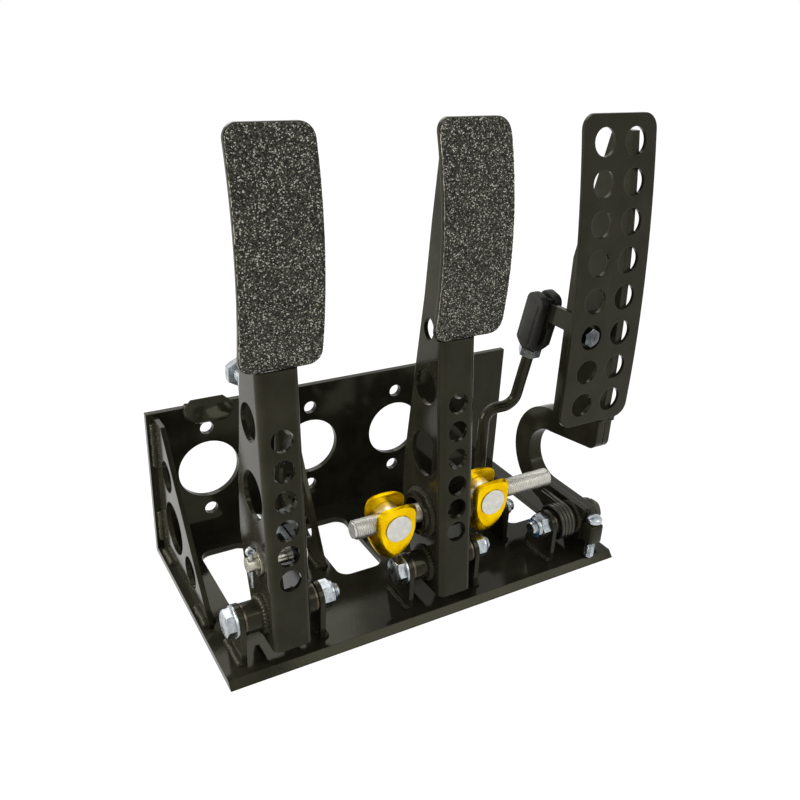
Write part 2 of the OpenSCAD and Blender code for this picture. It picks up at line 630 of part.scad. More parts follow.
// link from the throttle pad to the lever beside the brake pedal
tab_back = thr_cy - thr_back_r + 1.2;
slot_lean = 12.9;
link_bolt_x = thr_pad_x - thr_col / 2;
link_bolt_z = thr_pad_z0 + thr_row0 + 2 * thr_row;
link_bolt_d = 6;
module link_tab() color(black) place() difference() {
  union() {
    slab_x(tab_x - tab_t / 2, tab_t) {
      translate([tab_back, lpin_z]) square([lpin_y - 8 - tab_back, 11]);
      translate([lpin_y - 9, lpin_z - tab_low]) square([16, slot_run + 2 * tab_low]);
    }
    translate([tab_x - tab_t / 2, tab_back, lpin_z - 12]) cube([22, tab_t, 23]);
  }
  translate([tab_x - 5, lpin_y, lpin_z]) rotate([slot_lean, 0, 0]) {
    rod_x(0, 10, 0, 0, lpin_d + 1);
    rod_x(0, 10, 0, slot_run - 0.5, lpin_d + 1);
    translate([0, -lpin_d / 2 - 0.5, 0]) cube([10, lpin_d + 1, slot_run - 0.5]);
  }
  rod_y(link_bolt_x, 0, 20, link_bolt_z, link_bolt_d);
}
module link_tab_bolt() color(zinc) place() {
  translate([link_bolt_x, tab_back - 4, link_bolt_z])
    rotate([-90, 0, 0]) cylinder(h = 4, d = 11 / cos(30), $fn = 6);
  rod_y(link_bolt_x, tab_back - 1, tab_back + 12, link_bolt_z, link_bolt_d);
}
// quarter bend from the upward direction into +X, starting at the origin
module bend(r) translate([r, 0, 0]) rotate([90, 0, 0]) rotate([0, 0, 90])
  rotate_extrude(angle = 90) translate([r, 0]) circle(d = lrod_d);
module link_rod() color(black) place() {
  up = norm([lp_y - lpin_y, lpin_z - cross_z]) - fork_floor;
  difference() {
    rod_z(lrod_x, lp_y, lp_z, cross_z - bend_r, lrod_d);
    rod_x(lrod_x - 20, lrod_x + 20, lp_y, lp_z, lboss_d);
  }
  translate([lrod_x, lp_y, cross_z - bend_r]) bend(bend_r);
  rod_x(lrod_x + bend_r, tab_x - bend_r, lp_y, cross_z, lrod_d);
  translate([tab_x, lp_y, cross_z]) rotate([link_lean, 0, 0]) {
    translate([0, 0, bend_r]) rotate([0, 180, 0]) bend(bend_r);
    rod_z(0, 0, bend_r, up, lrod_d);
  }
}
module link_boss() color(black) place() difference() {
  rod_x(boss_x0, boss_x0 + boss_len, lp_y, lp_z, lboss_d);
  rod_x(boss_x0 - 1, boss_x0 + boss_len + 1, lp_y, lp_z, lbolt_d + run_fit);
}
module link_frame() translate([tab_x, lpin_y, lpin_z]) rotate([link_lean, 0, 0]) children();
module link_fork() color([0.05, 0.05, 0.05]) place() difference() {
  link_frame() difference() {
    intersection() {
      slab_x(-cheek_w / 2, cheek_w) round_rect(-cheek_w / 2, -fork_end, cheek_w / 2, fork_top, fork_round);
      translate([0, 0, -fork_end]) cylinder(h = fork_end + fork_top, r1 = fork_neck, r2 = 6 * fork_neck);
    }
    translate([-tab_t / 2 - 0.5, -20, 0.5 - fork_floor]) cube([tab_t + 1, 40, 40]);
    translate([0, 0, -fork_end - 1]) cylinder(h = fork_end - fork_floor + 1, d = lrod_d);
  }
  rod_x(tab_x - 20, tab_x + 20, lpin_y, lpin_z, lpin_d);
}
module link_nut() color(zinc) place() link_frame() difference() {
  translate([0, 0, -fork_end - 5]) cylinder(h = 5, d = 12 / cos(30), $fn = 6);
  translate([0, 0, -fork_end - 6]) cylinder(h = 7, d = lrod_d);
}
module link_pin() color(zinc) place() rod_x(tab_x - cheek_w / 2, tab_x + cheek_w / 2, lpin_y, lpin_z, lpin_d);
base_plate();
bulkhead_plate();
left_gusset();
middle_gusset();
stop_tab();
clutch_ears();
brake_ears();
throttle_ears();
link_ears();
clutch_pivot_bolt();
clutch_pivot_nut();
brake_pivot_bolt();
brake_pivot_nut();
throttle_pivot_bolt();
throttle_pivot_nut();
link_pivot_bolt();
link_pivot_nut();
clutch_arm();
clutch_pivot_tube();
clutch_bushes();
clutch_pad();
clutch_grip();
clutch_stop_bolt();
clutch_stop_bridge();
clutch_pin();
clutch_split_pin();
clutch_clevis();
brake_arm();
brake_pivot_tube();
brake_bushes();
brake_pad();
brake_grip();
bias_tube();
bearing_cup();
balance_bar();
bearing_ball();
left_trunnion();
left_clevis();
right_trunnion();
right_clevis();
throttle_arm();
throttle_web();
throttle_pivot_tube();
throttle_bushes();
throttle_pad();
throttle_stop_lug();
throttle_stop_bolt();
throttle_spring();
link_tab();
link_tab_bolt();
link_rod();
link_boss();
link_fork();
link_nut();
link_pin();
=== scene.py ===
import bpy
import json
import math
from mathutils import Matrix, Vector


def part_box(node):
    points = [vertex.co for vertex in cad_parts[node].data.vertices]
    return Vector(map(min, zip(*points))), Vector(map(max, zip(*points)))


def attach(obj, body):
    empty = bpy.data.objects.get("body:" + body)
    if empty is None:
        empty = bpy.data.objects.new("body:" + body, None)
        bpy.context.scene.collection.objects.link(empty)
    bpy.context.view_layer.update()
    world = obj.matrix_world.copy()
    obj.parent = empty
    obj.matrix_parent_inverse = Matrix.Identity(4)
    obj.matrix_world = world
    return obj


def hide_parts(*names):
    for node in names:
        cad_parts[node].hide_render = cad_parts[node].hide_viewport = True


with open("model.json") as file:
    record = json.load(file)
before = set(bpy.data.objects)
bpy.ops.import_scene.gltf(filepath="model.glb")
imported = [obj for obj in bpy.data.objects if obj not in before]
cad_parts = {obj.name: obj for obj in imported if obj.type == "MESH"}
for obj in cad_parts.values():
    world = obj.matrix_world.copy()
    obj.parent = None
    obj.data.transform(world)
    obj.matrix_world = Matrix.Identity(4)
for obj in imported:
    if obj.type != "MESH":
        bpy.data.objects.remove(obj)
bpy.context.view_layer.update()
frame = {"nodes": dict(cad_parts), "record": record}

print("stage: frame loaded")
nodes = frame["nodes"]
baseW, baseD, baseT = 0.259, 0.138, 0.004
pedalX = {"clutch": 36, "brake": 136.75}  # middle of each arm, in millimetres
pivotY, pivotZ = 19.8, 22.6


def at(x, y, z):
    # millimetres from the front left corner of the base top to metres in the frame
    return Vector((x / 1000 - baseW / 2, y / 1000 - baseD / 2, z / 1000 + baseT))


# camera, solved from the base corners and the cylinder holes
cameraSetup = {
    "azimuth": -31.08,
    "elevation": 25.04,
    "roll": 2.72,
    "focalPixels": 841.62,
    "imagePixels": 800,
    "sensor": 36,
    "nearest": 0.01,
    "place": at(-99.4, -317.5, 315.3),
}


def makeCamera(s):
    a, e, r = (math.radians(s[k]) for k in ("azimuth", "elevation", "roll"))
    back = Vector((math.sin(a) * math.cos(e), -math.cos(a) * math.cos(e), math.sin(e)))
    level = Vector((math.cos(a), math.sin(a), 0))
    upright = back.cross(level)
    right = level * math.cos(r) + upright * math.sin(r)
    up = upright * math.cos(r) - level * math.sin(r)
    bpy.ops.object.camera_add()
    cam = bpy.context.object
    cam.name = "photoCamera"
    turn = Matrix((right, up, back)).transposed().to_4x4()
    cam.matrix_world = Matrix.Translation(s["place"]) @ turn
    cam.data.sensor_width = s["sensor"]
    cam.data.lens = s["sensor"] * s["focalPixels"] / s["imagePixels"]
    cam.data.clip_start = s["nearest"]
    bpy.context.scene.camera = cam


makeCamera(cameraSetup)
print("stage: camera set")

# floor, backdrop light and lamps
studioSetup = {
    "skyColor": (1, 0.985, 0.96, 1),
    "skyStrength": 0.55,
    "floorColor": (0.9, 0.9, 0.89, 1),
    "floorRough": 0.9,
    "floorSize": 6,
    "floorHeight": -0.0003,
    "floorWhite": 1.12,
    "floorShare": 0.86,
}
lampSetup = {
    "keyLamp": {"place": (-0.95, 0.15, 0.4), "aim": (0, 0, 0.12), "size": 0.6, "power": 12.0,
                "color": (1, 0.98, 0.93)},
    "fillLamp": {"place": (0.5, -0.8, 0.8), "aim": (0, 0, 0.1), "size": 0.6, "power": 3.2,
                 "color": (1, 1, 1)},
    "rimLamp": {"place": (0.1, 0.9, 0.9), "aim": (0, 0, 0.15), "size": 0.7, "power": 3.0,
                "color": (1, 1, 1)},
}


def seenDirectly(tree):
    # one where the camera, metal or glass looks at it, nought for the light it gives
    path = tree.nodes.new("ShaderNodeLightPath")
    seen = path.outputs["Is Camera Ray"]
    for ray in ("Is Glossy Ray", "Is Transmission Ray"):
        either = tree.nodes.new("ShaderNodeMath")
        either.operation = "MAXIMUM"
        tree.links.new(seen, either.inputs[0])
        tree.links.new(path.outputs[ray], either.inputs[1])
        seen = either.outputs[0]
    return seen


def mixed(tree, share, first, second):
    mix = tree.nodes.new("ShaderNodeMixShader")
    tree.links.new(share, mix.inputs["Fac"])
    tree.links.new(first.outputs[0], mix.inputs[1])
    tree.links.new(second.outputs[0], mix.inputs[2])
    return mix.outputs[0]


def makeWorld(s):
    world = bpy.data.worlds.new("studio")
    bpy.context.scene.world = world
    world.use_nodes = True
    tree = world.node_tree
    tree.nodes.clear()
    out = tree.nodes.new("ShaderNodeOutputWorld")
    soft = tree.nodes.new("ShaderNodeBackground")
    soft.inputs["Color"].default_value = s["skyColor"]
    soft.inputs["Strength"].default_value = s["skyStrength"]
    white = tree.nodes.new("ShaderNodeBackground")
    white.inputs["Color"].default_value = (1, 1, 1, 1)
    white.inputs["Strength"].default_value = 1.0
    tree.links.new(mixed(tree, seenDirectly(tree), soft, white), out.inputs["Surface"])


def makeFloor(s):
    bpy.ops.object.select_all(action="DESELECT")
    bpy.ops.mesh.primitive_plane_add(size=s["floorSize"], location=(0, 0, s["floorHeight"]))
    floor = bpy.context.object
    floor.name = "studioFloor"
    mat, tree, bsdf = newFinish("floorWhite")
    bsdf.inputs["Base Color"].default_value = s["floorColor"]
    bsdf.inputs["Roughness"].default_value = s["floorRough"]
    white = tree.nodes.new("ShaderNodeEmission")
    white.inputs["Strength"].default_value = s["floorWhite"]
    share = tree.nodes.new("ShaderNodeMath")
    share.operation = "MULTIPLY"
    share.inputs[1].default_value = s["floorShare"]
    tree.links.new(seenDirectly(tree), share.inputs[0])
    surface = tree.nodes["Material Output"].inputs["Surface"]
    tree.links.new(mixed(tree, share.outputs[0], bsdf, white), surface)
    floor.data.materials.append(mat)


def makeLamp(name, s):
    bpy.ops.object.light_add(type="AREA", location=s["place"])
    lamp = bpy.context.object
    lamp.name = name
    lamp.data.size = s["size"]
    lamp.data.energy = s["power"]
    lamp.data.color = s["color"]
    way = Vector(s["aim"]) - Vector(s["place"])
    lamp.rotation_euler = way.to_track_quat("-Z", "Y").to_euler()


def newFinish(name):
    mat = bpy.data.materials.new(name)
    mat.use_nodes = True
    tree = mat.node_tree
    return mat, tree, tree.nodes["Principled BSDF"]


makeWorld(studioSetup)
makeFloor(studioSetup)
for name, s in lampSetup.items():
    makeLamp(name, s)
bpy.context.scene.view_settings.view_transform = "Standard"
print("stage: light and floor")


# finishes
def objectPoints(tree, scale=(1, 1, 1)):
    coords = tree.nodes.new("ShaderNodeTexCoord")
    mapping = tree.nodes.new("ShaderNodeMapping")
    mapping.inputs["Scale"].default_value = scale
    tree.links.new(coords.outputs["Object"], mapping.inputs["Vector"])
    return mapping.outputs["Vector"]


def noise(tree, points, scale, detail=3.0, rough=0.5):
    n = tree.nodes.new("ShaderNodeTexNoise")
    n.inputs["Scale"].default_value = scale
    n.inputs["Detail"].default_value = detail
    n.inputs["Roughness"].default_value = rough
    tree.links.new(points, n.inputs["Vector"])
    return n.outputs["Fac"]


def ramp(tree, value, stops):
    r = tree.nodes.new("ShaderNodeValToRGB")
    els = r.color_ramp.elements
    while len(els) < len(stops):
        els.new(0.5)
    for el, (pos, col) in zip(els, stops):
        el.position = pos
        el.color = (*col, 1)
    tree.links.new(value, r.inputs["Fac"])
    return r.outputs["Color"]


def softEdges(tree, radius):
    b = tree.nodes.new("ShaderNodeBevel")
    b.samples = 4
    b.inputs["Radius"].default_value = radius
    return b.outputs["Normal"]


def bump(tree, height, strength, distance, normal=None):
    b = tree.nodes.new("ShaderNodeBump")
    b.inputs["Strength"].default_value = strength
    b.inputs["Distance"].default_value = distance
    tree.links.new(height, b.inputs["Height"])
    if normal is not None:
        tree.links.new(normal, b.inputs["Normal"])
    return b.outputs["Normal"]


def grey(v):
    return (v, v, v)


def greyRamp(tree, value, first, last, levels):
    return ramp(tree, value, [(first, grey(levels[0])), (last, grey(levels[1]))])


def dress(tree, bsdf, color, rough, normal):
    tree.links.new(color, bsdf.inputs["Base Color"])
    tree.links.new(rough, bsdf.inputs["Roughness"])
    tree.links.new(normal, bsdf.inputs["Normal"])


coatSetup = {
    "dark": (0.012, 0.0115, 0.0075),
    "light": (0.022, 0.021, 0.014),
    "rough": (0.05, 0.13),
    "peel": 900,
    "shine": 0.16,
    "tint": (1, 0.97, 0.68, 1),
    "edge": 0.0006,
}


def blackCoat(s, name="blackPowderCoat"):
    mat, tree, bsdf = newFinish(name)
    p = objectPoints(tree)
    color = ramp(tree, noise(tree, p, 60, 4), [(0.35, s["dark"]), (0.7, s["light"])])
    rough = greyRamp(tree, noise(tree, p, 45, 5), 0.3, 0.75, s["rough"])
    peel = noise(tree, p, s["peel"], 2)
    dress(tree, bsdf, color, rough, bump(tree, peel, 0.12, 0.0002, softEdges(tree, s["edge"])))
    bsdf.inputs["Specular IOR Level"].default_value = s["shine"]
    bsdf.inputs["Specular Tint"].default_value = s["tint"]
    return mat


# plated and turned metals: mottled tone, uneven sheen and a fine grain
zincSetup = {
    "dull": (0.2, 0.22, 0.23),
    "bright": (0.56, 0.6, 0.62),
    "mottle": (260, 0.6),
    "sheen": (420, 0.8),
    "rough": (0.2, 0.42),
    "grain": (1500, 0.15),
    "edge": 0.0003,
}
steelSetup = {
    "dull": (0.52, 0.515, 0.475),
    "bright": (0.7, 0.69, 0.64),
    "mottle": (300, 0.65),
    "sheen": (900, 0.75),
    "rough": (0.3, 0.5),
    "grain": (2500, 0.2),
    "edge": 0.0003,
}


def metalSkin(s, name):
    mat, tree, bsdf = newFinish(name)
    p = objectPoints(tree)
    scale, fine = s["mottle"]
    color = ramp(tree, noise(tree, p, scale, 5, fine), [(0.3, s["dull"]), (0.7, s["bright"])])
    scale, last = s["sheen"]
    rough = greyRamp(tree, noise(tree, p, scale, 3), 0.3, last, s["rough"])
    scale, strength = s["grain"]
    grain = noise(tree, p, scale, 2)
    dress(tree, bsdf, color, rough, bump(tree, grain, strength, 0.0001, softEdges(tree, s["edge"])))
    bsdf.inputs["Metallic"].default_value = 1.0
    return mat


goldSetup = {
    "deep": (0.7, 0.4, 0.002),
    "bright": (0.98, 0.66, 0.006),
    "tint": (1, 0.86, 0.3, 1),
    "rough": (0.24, 0.36),
    "turning": 5200,
    "edge": 0.0005,
}


def goldAnodised(s):
    mat, tree, bsdf = newFinish("goldAnodised")
    p = objectPoints(tree)
    color = ramp(tree, noise(tree, p, 120, 4), [(0.3, s["deep"]), (0.75, s["bright"])])
    lines = noise(tree, objectPoints(tree, (0.02, 0.02, 1)), s["turning"], 2)
    rough = greyRamp(tree, lines, 0.3, 0.7, s["rough"])
    dress(tree, bsdf, color, rough, bump(tree, lines, 0.2, 0.00008, softEdges(tree, s["edge"])))
    bsdf.inputs["Metallic"].default_value = 1.0
    bsdf.inputs["Specular Tint"].default_value = s["tint"]
    return mat


gritSetup = {
    "grain": 1900,
    "shine": 0.3,
    "rough": (0.2, 0.7),
    "relief": 0.0007,
    # the 0.86 step gives lighter grains; the near-white top step paints glints on a few grains
    "stops": [(0.0, (0.002, 0.002, 0.001)), (0.35, (0.008, 0.008, 0.005)), (0.65, (0.05, 0.05, 0.036)),
              (0.86, (0.13, 0.13, 0.1)), (0.98, (0.7, 0.69, 0.6))],
}


def gritSheet(s):
    mat, tree, bsdf = newFinish("antiSlipGrit")
    cells = tree.nodes.new("ShaderNodeTexVoronoi")
    cells.inputs["Scale"].default_value = s["grain"]
    tree.links.new(objectPoints(tree), cells.inputs["Vector"])
    split = tree.nodes.new("ShaderNodeSeparateColor")
    tree.links.new(cells.outputs["Color"], split.inputs["Color"])
    color = ramp(tree, split.outputs["Red"], s["stops"])
    rough = greyRamp(tree, split.outputs["Green"], 0.0, 1.0, s["rough"])
    dress(tree, bsdf, color, rough, bump(tree, cells.outputs["Distance"], 1.0, s["relief"]))
    bsdf.inputs["Specular IOR Level"].default_value = s["shine"]
    return mat


plasticSetup = {
    "dark": (0.008, 0.0078, 0.0058),
    "light": (0.016, 0.0155, 0.0115),
    "rough": (0.38, 0.55),
    "grain": 1800,
    "shine": 0.25,
    "edge": 0.0008,
}


def darkPlastic(s):
    mat, tree, bsdf = newFinish("darkMouldedPlastic")
    p = objectPoints(tree)
    color = ramp(tree, noise(tree, p, 180, 4), [(0.3, s["dark"]), (0.7, s["light"])])
    rough = greyRamp(tree, noise(tree, p, 600, 3), 0.3, 0.7, s["rough"])
    grain = noise(tree, p, s["grain"], 3)
    dress(tree, bsdf, color, rough, bump(tree, grain, 0.35, 0.0002, softEdges(tree, s["edge"])))
    bsdf.inputs["Specular IOR Level"].default_value = s["shine"]
    return mat


# the same coat and plating in other tones
fineCoat = dict(coatSetup, peel=1500)
springSetup = dict(fineCoat, dark=grey(0.01), light=grey(0.03), rough=(0.2, 0.35), shine=0.5)
nylonSetup = dict(fineCoat, dark=(0.02, 0.1, 0.3), light=(0.04, 0.16, 0.42), rough=(0.3, 0.45), shine=0.4)
sheetEdgeSetup = dict(fineCoat, dark=(0.2, 0.19, 0.16), light=(0.42, 0.4, 0.35), rough=(0.5, 0.7), shine=0.3)
yellowSetup = dict(zincSetup, dull=(0.26, 0.25, 0.2), bright=(0.62, 0.59, 0.49))
# zinc darkened as painted shade, for the tab bolt that sits in shade behind the pad
paintedShadeZincSetup = dict(zincSetup, dull=(0.03, 0.032, 0.035), bright=(0.17, 0.185, 0.19))
bronzeSetup = dict(zincSetup, dull=(0.04, 0.035, 0.025), bright=(0.12, 0.1, 0.07))
finishes = {
    "black_coat": blackCoat(coatSetup),
    "zinc": metalSkin(zincSetup, "brightZinc"),
    "yellow_zinc": metalSkin(yellowSetup, "yellowZinc"),
    "zincPaintedShade": metalSkin(paintedShadeZincSetup, "zincWithPaintedShade"),
    "bronze": metalSkin(bronzeSetup, "sinteredBronze"),
    "bare_steel": metalSkin(steelSetup, "turnedSteel"),
    "gold_anodised": goldAnodised(goldSetup),
    "grip_grit": gritSheet(gritSetup),
    "spring_steel": blackCoat(springSetup, "springSteel"),
    "fork_plastic": darkPlastic(plasticSetup),
    "blueNylon": blackCoat(nylonSetup, "blueNylon"),
    "paleEdge": blackCoat(sheetEdgeSetup, "sheetEdge"),
}
slotOf = {part["node"]: part["material_slot"] for part in frame["record"]["subparts"]}
for nodeName, obj in nodes.items():
    obj.data.materials.clear()
    obj.data.materials.append(finishes[slotOf[nodeName]])
print("stage: finishes on", len(nodes), "nodes")


# small helpers for building pieces with operators
def pickOnly(*objs):
    bpy.ops.object.select_all(action="DESELECT")
    for o in objs:
        o.select_set(True)
    bpy.context.view_layer.objects.active = objs[-1]


def bake(obj):
    pickOnly(obj)
    for m in list(obj.modifiers):
        bpy.ops.object.modifier_apply(modifier=m.name)
    return obj


def settle(obj):
    pickOnly(obj)
    bpy.ops.object.transform_apply(location=True, rotation=True, scale=True)
    return obj


def joined(*objs):
    pickOnly(*objs)
    bpy.ops.object.join()
    return bpy.context.object


def editAll(obj, operator, **options):
    # runs one edit mode operator on the whole mesh
    pickOnly(obj)
    bpy.ops.object.mode_set(mode="EDIT")
    bpy.ops.mesh.select_all(action="SELECT")
    operator(**options)
    bpy.ops.object.mode_set(mode="OBJECT")
    return obj


def fixNormals(obj):
    return editAll(obj, bpy.ops.mesh.normals_make_consistent, inside=False)


def paint(obj, *mats):
    obj.data.materials.clear()
    for m in mats:
        obj.data.materials.append(m)
    return obj


def done(obj, name, body, slot, *stands, angle=35):
    settle(obj)
    obj.name = name
    obj.data.name = name
    bpy.ops.object.shade_smooth_by_angle(angle=math.radians(angle))
    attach(obj, body)
    if stands:
        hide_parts(*stands)
    return obj


def profileRing(points):
    # a closed ring of (radius, height) points standing on the XZ plane
    bpy.ops.object.select_all(action="DESELECT")
    bpy.ops.mesh.primitive_circle_add(vertices=len(points), fill_type="NOTHING")
    obj = bpy.context.object
    for v, (r, h) in zip(obj.data.vertices, points):
        v.co = (r, 0, h)
    return obj


def turned(points, steps=40):
    obj = profileRing(points)
    spin = obj.modifiers.new("spin", "SCREW")
    spin.steps = spin.render_steps = steps
    spin.use_merge_vertices = True
    spin.merge_threshold = 0.00001
    return fixNormals(bake(obj))


def wound(points, pitch, turns, steps):
    obj = profileRing(points)
    spin = obj.modifiers.new("wind", "SCREW")
    spin.screw_offset = pitch
    spin.iterations = turns
    spin.steps = spin.render_steps = steps
    editAll(bake(obj), bpy.ops.mesh.fill_holes, sides=0)  # closes both ends
    return fixNormals(obj)


def aimed(obj, place, way):
    # stands a piece made along Z on a point, pointing the given way
    obj.rotation_mode = "QUATERNION"
    obj.rotation_quaternion = Vector((0, 0, 1)).rotation_difference(Vector(way))
    obj.location = place
    return settle(obj)


def block(size, place):
    bpy.ops.object.select_all(action="DESELECT")
    bpy.ops.mesh.primitive_cube_add(size=1, location=place)
    cube = bpy.context.object
    cube.scale = size
    return settle(cube)


def cutBy(obj, cutter, how="DIFFERENCE", merge=0):
    cut = obj.modifiers.new("cut", "BOOLEAN")
    cut.operation = how
    cut.object = cutter
    bake(obj)
    bpy.data.objects.remove(cutter)
    if merge:
        editAll(obj, bpy.ops.mesh.remove_doubles, threshold=merge)
    return obj


def softened(obj, width, segments, angle=30):
    soft = obj.modifiers.new("soft", "BEVEL")
    soft.width = width
    soft.segments = segments
    soft.limit_method = "ANGLE"
    soft.angle_limit = math.radians(angle)
    return bake(obj)


def bevelEdges(obj, chosen, offset, segments):
    # chosen tells from an edge's two ends if it is bevelled
    pickOnly(obj)
    bpy.ops.object.mode_set(mode="EDIT")
    bpy.ops.mesh.select_mode(type="EDGE")
    bpy.ops.mesh.select_all(action="DESELECT")
    bpy.ops.object.mode_set(mode="OBJECT")
    v = obj.data.vertices
    for e in obj.data.edges:
        e.select = chosen(*(v[i].co for i in e.vertices))
    bpy.ops.object.mode_set(mode="EDIT")
    bpy.ops.mesh.bevel(offset=offset, segments=segments, affect="EDGES")
    bpy.ops.object.mode_set(mode="OBJECT")


def hexBlock(flats, height):
    # hexagon with its corners turned off at the top
    r = flats / 2
    bpy.ops.object.select_all(action="DESELECT")
    bpy.ops.mesh.primitive_cylinder_add(vertices=6, radius=r / math.cos(math.pi / 6), depth=height,
                                        location=(0, 0, height / 2))
    hexagon = settle(bpy.context.object)
    cone = [(r * 1.5, height - r * 0.3), (r * 0.94, height), (0, height)]
    return cutBy(hexagon, turned([(0, -height), (r * 1.5, -height)] + cone, 48), "INTERSECT")


def thread(major, length, pitch, steps=20):
    # a wound ridge on a core with eased ends
    deep = major / 2 - pitch * 0.55
    root = deep - pitch * 0.1
    crest = [(major / 2, pitch * 0.42), (major / 2, pitch * 0.58)]
    turns = max(1, int((length - pitch) / pitch))
    ridge = wound([(root, 0)] + crest + [(root, pitch)], pitch, turns, steps)
    ease = pitch * 0.6
    core = turned([(0, 0), (deep * 0.9, 0), (deep, ease), (deep, length - ease), (deep * 0.9, length),
                   (0, length)], 24)
    return joined(ridge, core)


# pivot bolts: chamfered head, plain shank and a threaded end past the nut
boltSetup = {"d": 0.0095, "pitch": 0.0012, "head": 0.62, "flats": 1.45, "tail": 0.6, "washer": 0.95,
             "washerT": 0.0012, "finish": "zinc"}


def pivotBolt(name, node, body, s, toRight=True):
    low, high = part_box(node)
    mid = (low + high) / 2
    d, headT = s["d"], s["d"] * s["head"]
    start, way = (low.x, 1) if toRight else (high.x, -1)
    plain = high.x - low.x - headT - d * s["tail"]
    under = Vector((start + way * headT, mid.y, mid.z))
    head = aimed(hexBlock(d * s["flats"], headT), under, (-way, 0, 0))
    shank = aimed(turned([(0, 0), (d / 2, 0), (d / 2, plain), (0, plain)], 32), under, (way, 0, 0))
    end = aimed(thread(d, d * s["tail"], s["pitch"]), under + Vector((way * plain, 0, 0)), (way, 0, 0))
    r, t = d * s["washer"], s["washerT"]
    washer = turned([(0, 0), (r, 0), (r, t * 0.75), (r - t * 0.3, t), (0, t)], 40)
    aimed(washer, under, (-way, 0, 0))
    for part in (end, shank):
        paint(part, finishes["zinc"])
    # head and washer take the setup's finish, which on the throttle bolt is black painted shade
    for part in (washer, head):
        paint(part, finishes[s["finish"]])
    done(joined(end, shank, washer, head), name, body, "zinc", node)


# lock nuts with a collar and a blue insert
nutSetup = {"hexShare": 0.78, "flats": 1.45}


def nylocNut(name, node, body, s, d, toRight=True):
    low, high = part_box(node)
    mid = (low + high) / 2
    flat, tall = d * s["flats"], high.x - low.x
    hexTall = tall * s["hexShare"]
    start, way = (low.x, 1) if toRight else (high.x, -1)
    foot = hexTall - 0.0006
    hexagon = paint(hexBlock(flat, hexTall), finishes["zinc"])
    collar = turned([(d * 0.5, foot), (flat * 0.47, foot), (flat * 0.47, tall - 0.0008),
                     (flat * 0.42, tall), (d * 0.6, tall), (d * 0.5, tall - 0.0004)], 40)
    ring = turned([(d * 0.45, hexTall), (d * 0.61, hexTall), (d * 0.61, tall + 0.0001),
                   (d * 0.56, tall + 0.0002), (d * 0.45, tall - 0.0002)], 40)
    nut = joined(paint(ring, finishes["blueNylon"]), paint(collar, finishes["zinc"]), hexagon)
    aimed(nut, (start, mid.y, mid.z), (way, 0, 0))
    done(nut, name, body, "zinc", node)


linkBoltSetup = dict(boltSetup, d=0.008)
# the throttle bolt's head and washer take the black spring steel finish as painted shade, for the zinc head
# in shade behind the lug
throttleBoltSetup = dict(boltSetup, flats=1.3, finish="spring_steel")
for side in ("clutch", "brake"):
    pivotBolt(side + "BoltDetail", side + "_pivot_bolt", "frame", boltSetup)
    nylocNut(side + "NutDetail", side + "_pivot_nut", "frame", nutSetup, boltSetup["d"])
pivotBolt("throttleBoltDetail", "throttle_pivot_bolt", "frame", throttleBoltSetup, False)
nylocNut("throttleNutDetail", "throttle_pivot_nut", "frame", nutSetup, boltSetup["d"], False)
pivotBolt("linkBoltDetail", "link_pivot_bolt", "frame", linkBoltSetup)
nylocNut("linkNutDetail", "link_pivot_nut", "frame", nutSetup, linkBoltSetup["d"])
print("stage: pivot bolts and nuts")

# threaded balance bar
barSetup = {"major": 0.0111, "pitch": 0.00127, "steps": 24}


def balanceBar(s):
    low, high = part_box("balance_bar")
    mid = (low + high) / 2
    bar = thread(s["major"], high.x - low.x, s["pitch"], s["steps"])
    aimed(bar, (low.x, mid.y, mid.z), (1, 0, 0))
    done(paint(bar, finishes["bare_steel"]), "threadedBar", "bar", "bare_steel", "balance_bar", angle=50)


balanceBar(barSetup)

# stop bolts and the tab bolt: a head, a thread and on one of them a lock nut
stopSetup = {
    "clutch_stop_bolt": {"body": "clutch", "axis": 1, "headHigh": True, "flats": 0.013, "d": 0.008,
                         "headT": 0.005, "lockOn": "clutch_stop_bridge", "lockT": 0.0045},
    "throttle_stop_bolt": {"body": "throttle", "axis": 2, "headHigh": True, "flats": 0.010, "d": 0.006,
                           "headT": 0.004, "dome": True},
    # the tab bolt takes the zinc darkened as painted shade
    "link_tab_bolt": {"body": "throttle", "axis": 1, "headHigh": False, "flats": 0.0095, "d": 0.006,
                      "headT": 0.004, "finish": "zincPaintedShade"},
}
stopPitch = 0.0011


def domedHead(flats, height):
    r = flats * 0.5
    steps = [t * math.pi / 12 for t in range(6)]
    arc = [(r * math.cos(t), height * (0.45 + 0.55 * math.sin(t))) for t in steps]
    return turned([(0, 0), (r, 0)] + arc + [(0, height)], 36)


def stopBolt(node, s):
    low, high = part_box(node)
    axis = s["axis"]
    along = Vector([1 if i == axis else 0 for i in range(3)])
    foot = (low + high) / 2
    way = along if s["headHigh"] else -along
    foot[axis] = low[axis] if s["headHigh"] else high[axis]
    length = high[axis] - low[axis] - s["headT"]
    rod = aimed(thread(s["d"], length, stopPitch), foot, way)
    shape = domedHead if s.get("dome") else hexBlock
    parts = [rod, aimed(shape(s["flats"], s["headT"]), foot + way * length, way)]
    if s.get("lockOn"):
        seat = foot.copy()
        seat[axis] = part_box(s["lockOn"])[1][axis]
        parts.append(aimed(hexBlock(s["flats"], s["lockT"]), seat, way))
    bolt = paint(joined(*parts), finishes[s.get("finish", "zinc")])
    done(bolt, node.replace("_", "") + "Detail", s["body"], "zinc", node)


for node, s in stopSetup.items():
    stopBolt(node, s)
print("stage: threads and stop bolts")

# gritty grip sheets: a fine grid laid on the pad's curve and pushed out by a grain texture
gripSetup = {"step": 0.00045, "radius": 0.2083, "centre": at(0, 223.73, 199.3), "corner": 0.0067,
             "grain": 0.0011, "rise": 0.0006, "middle": 0.2, "thick": 0.0006}


